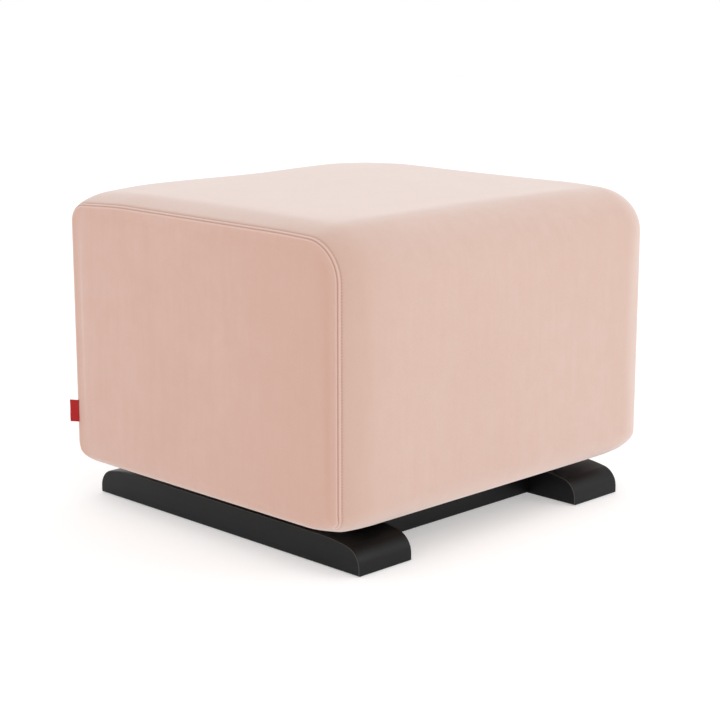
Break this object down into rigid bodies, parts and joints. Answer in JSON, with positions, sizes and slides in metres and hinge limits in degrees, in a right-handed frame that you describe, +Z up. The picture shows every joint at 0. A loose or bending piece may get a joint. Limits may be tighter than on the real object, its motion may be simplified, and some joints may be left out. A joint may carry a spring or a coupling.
{
  "type": "gliding ottoman",
  "caption": "Upholstered box footstool that glides front to back on swing arms, on a low wooden base of runners and cross rails.",
  "frame": {"origin": "on the floor, under the middle of the ottoman", "axes": "+X across the seat, from the left side panel to the right one; -Y towards the front; +Z up"},
  "size_m": [0.5593, 0.513, 0.407],
  "materials": {
    "black_wood": "satin",
    "beech": "matte",
    "plywood": "matte",
    "grip_rubber": "matte",
    "black_steel": "satin",
    "zinc_steel": "satin",
    "bearing_steel": "polished",
    "foam": "matte",
    "blush_velvet": "matte",
    "red_webbing": "matte",
    "black_lining": "matte"
  },
  "bodies": {
    "base": {"left_runner": "black_wood", "right_runner": "black_wood", "front_cross_rail": "black_wood", "rear_cross_rail": "black_wood", "rail_dowels": "beech", "grip_pads": "grip_rubber", "left_stand": "black_steel", "right_stand": "black_steel", "stand_feet": "black_steel", "stand_lag_bolts": "zinc_steel", "stand_tie_tube": "black_steel", "tie_bolts": "zinc_steel", "bump_stops": "grip_rubber", "bump_stop_screws": "zinc_steel", "upper_pivot_bolts": "zinc_steel", "upper_pivot_nuts": "zinc_steel", "upper_pivot_spacers": "zinc_steel", "upper_inner_rings": "bearing_steel"},
    "front_left_link": {"front_left_arm": "black_steel", "front_left_bearings": "bearing_steel", "front_left_bearing_balls": "bearing_steel"},
    "front_right_link": {"front_right_arm": "black_steel", "front_right_bearings": "bearing_steel", "front_right_bearing_balls": "bearing_steel"},
    "rear_left_link": {"rear_left_arm": "black_steel", "rear_left_bearings": "bearing_steel", "rear_left_bearing_balls": "bearing_steel"},
    "rear_right_link": {"rear_right_arm": "black_steel", "rear_right_bearings": "bearing_steel", "rear_right_bearing_balls": "bearing_steel"},
    "seat": {"left_seat_rail": "black_steel", "right_seat_rail": "black_steel", "seat_rail_bolts": "zinc_steel", "lower_pivot_bolts": "zinc_steel", "lower_pivot_nuts": "zinc_steel", "lower_pivot_spacers": "zinc_steel", "lower_inner_rings": "bearing_steel", "front_board": "beech", "rear_board": "beech", "left_board": "beech", "right_board": "beech", "top_deck": "plywood", "bottom_panel": "plywood", "corner_blocks": "beech", "front_bottom_rail": "beech", "rear_bottom_rail": "beech", "frame_screws": "zinc_steel", "top_foam": "foam", "front_foam": "foam", "rear_foam": "foam", "left_foam": "foam", "right_foam": "foam", "bottom_padding": "foam", "cover_band": "blush_velvet", "left_side_panel": "blush_velvet", "right_side_panel": "blush_velvet", "label_tab": "red_webbing", "dust_cover": "black_lining", "staples": "zinc_steel"}
  },
  "joints": [
    {"name": "glide", "type": "hinge", "parent": "base", "child": "front_left_link", "pos_m": [-0.1395, -0.085, 0.215], "axis": [1, 0, 0], "range_deg": [-25, 25]},
    {"name": "front_right_swing", "type": "hinge", "parent": "base", "child": "front_right_link", "pos_m": [0.1395, -0.085, 0.215], "axis": [1, 0, 0], "range_deg": [-25, 25]},
    {"name": "rear_left_swing", "type": "hinge", "parent": "base", "child": "rear_left_link", "pos_m": [-0.1395, 0.085, 0.215], "axis": [1, 0, 0], "range_deg": [-25, 25]},
    {"name": "rear_right_swing", "type": "hinge", "parent": "base", "child": "rear_right_link", "pos_m": [0.1395, 0.085, 0.215], "axis": [1, 0, 0], "range_deg": [-25, 25]},
    {"name": "seat_level", "type": "hinge", "parent": "front_left_link", "child": "seat", "pos_m": [-0.1395, -0.085, 0.075], "axis": [1, 0, 0], "range_deg": [-25, 25]}
  ],
  "couplings": [
    {"joint": "front_right_swing", "follows": "glide", "ratio": 1},
    {"joint": "rear_left_swing", "follows": "glide", "ratio": 1},
    {"joint": "rear_right_swing", "follows": "glide", "ratio": 1},
    {"joint": "seat_level", "follows": "glide", "ratio": -1}
  ]
}
